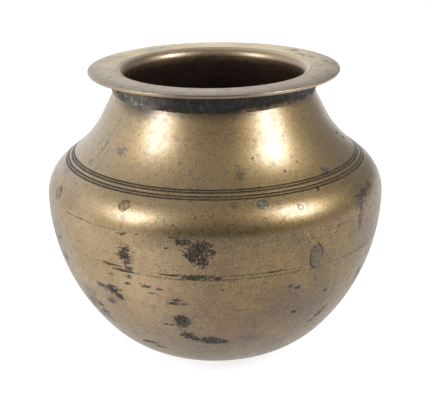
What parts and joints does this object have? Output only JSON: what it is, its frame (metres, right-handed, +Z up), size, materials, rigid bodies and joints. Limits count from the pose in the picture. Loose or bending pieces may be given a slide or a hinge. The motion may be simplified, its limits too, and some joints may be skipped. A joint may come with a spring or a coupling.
{
  "type": "lota water pot",
  "caption": "Round-bellied metal water pot with a turned, grooved shoulder, a short tapering neck and a flat rim around an open mouth.",
  "frame": {"origin": "centre of the flat foot, on the plane that the pot stands on", "axes": "+Z up through the mouth; -Y faces the viewer of the picture"},
  "size_m": [0.16, 0.16, 0.1375],
  "materials": {
    "old_brass": "satin, darkened with age",
    "rim_brass": "satin, worn pale",
    "solder": "rough, dark grey",
    "braze": "satin, dull",
    "plug_brass": "satin, greyish"
  },
  "bodies": {
    "root": {"lower_bowl": "old_brass", "upper_shell": "old_brass", "rim_flange": "rim_brass", "rim_solder": "solder", "belly_braze": "braze", "core_pin_left": "plug_brass", "core_pin_front_left": "plug_brass", "core_pin_front_right": "plug_brass", "oval_plug": "plug_brass"}
  },
  "joints": []
}
